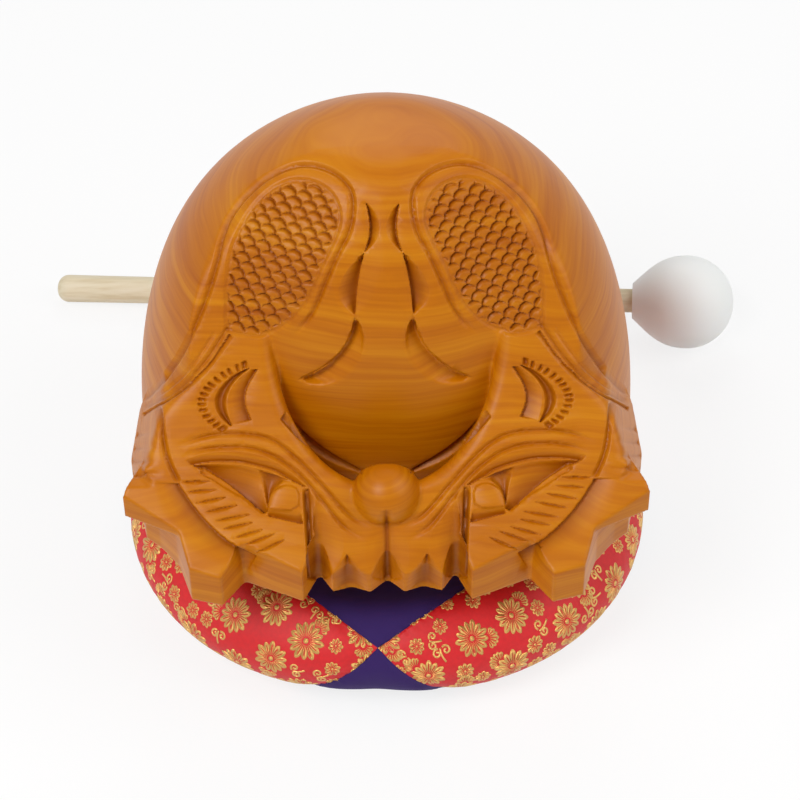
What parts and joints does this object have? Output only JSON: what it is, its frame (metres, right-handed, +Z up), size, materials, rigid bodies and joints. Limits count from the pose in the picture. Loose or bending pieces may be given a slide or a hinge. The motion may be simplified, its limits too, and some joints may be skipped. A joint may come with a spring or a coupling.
{
  "type": "mokugyo wooden fish",
  "caption": "Carved hollow wooden fish drum with a looped fish handle, resting in a round brocade cushion, with a rubber-headed wooden striker lying behind it.",
  "frame": {"origin": "on the floor, under the middle of the cushion and of the drum", "axes": "+Z up; the carved handle faces -Y; +X to the right of someone who faces the handle"},
  "size_m": [0.3679, 0.3049, 0.2423],
  "materials": {
    "carved_wood": "oiled and polished carved hardwood",
    "stuffing": "cotton wadding",
    "purple_cloth": "plain woven cloth",
    "red_brocade": "woven brocade with gold thread",
    "beech": "sanded, unvarnished",
    "white_rubber": "matte moulded"
  },
  "bodies": {
    "cushion": {"cushion_core": "stuffing", "cushion_top_panel": "purple_cloth", "cushion_bottom_panel": "purple_cloth", "cushion_brocade_back_right": "red_brocade", "cushion_brocade_back_left": "red_brocade", "cushion_brocade_front_left": "red_brocade", "cushion_brocade_front_right": "red_brocade"},
    "mokugyo": {"mokugyo_drum": "carved_wood", "mokugyo_handle": "carved_wood"},
    "striker": {"striker_stick": "beech", "striker_head": "white_rubber"}
  },
  "joints": [
    {"name": "mokugyo_lift", "type": "slide", "parent": "cushion", "child": "mokugyo", "axis": [0, 0, 1], "range_m": [0, 0.12]},
    {"name": "striker_lift", "type": "slide", "parent": "cushion", "child": "striker", "axis": [0, 0, 1], "range_m": [0, 0.26]}
  ]
}
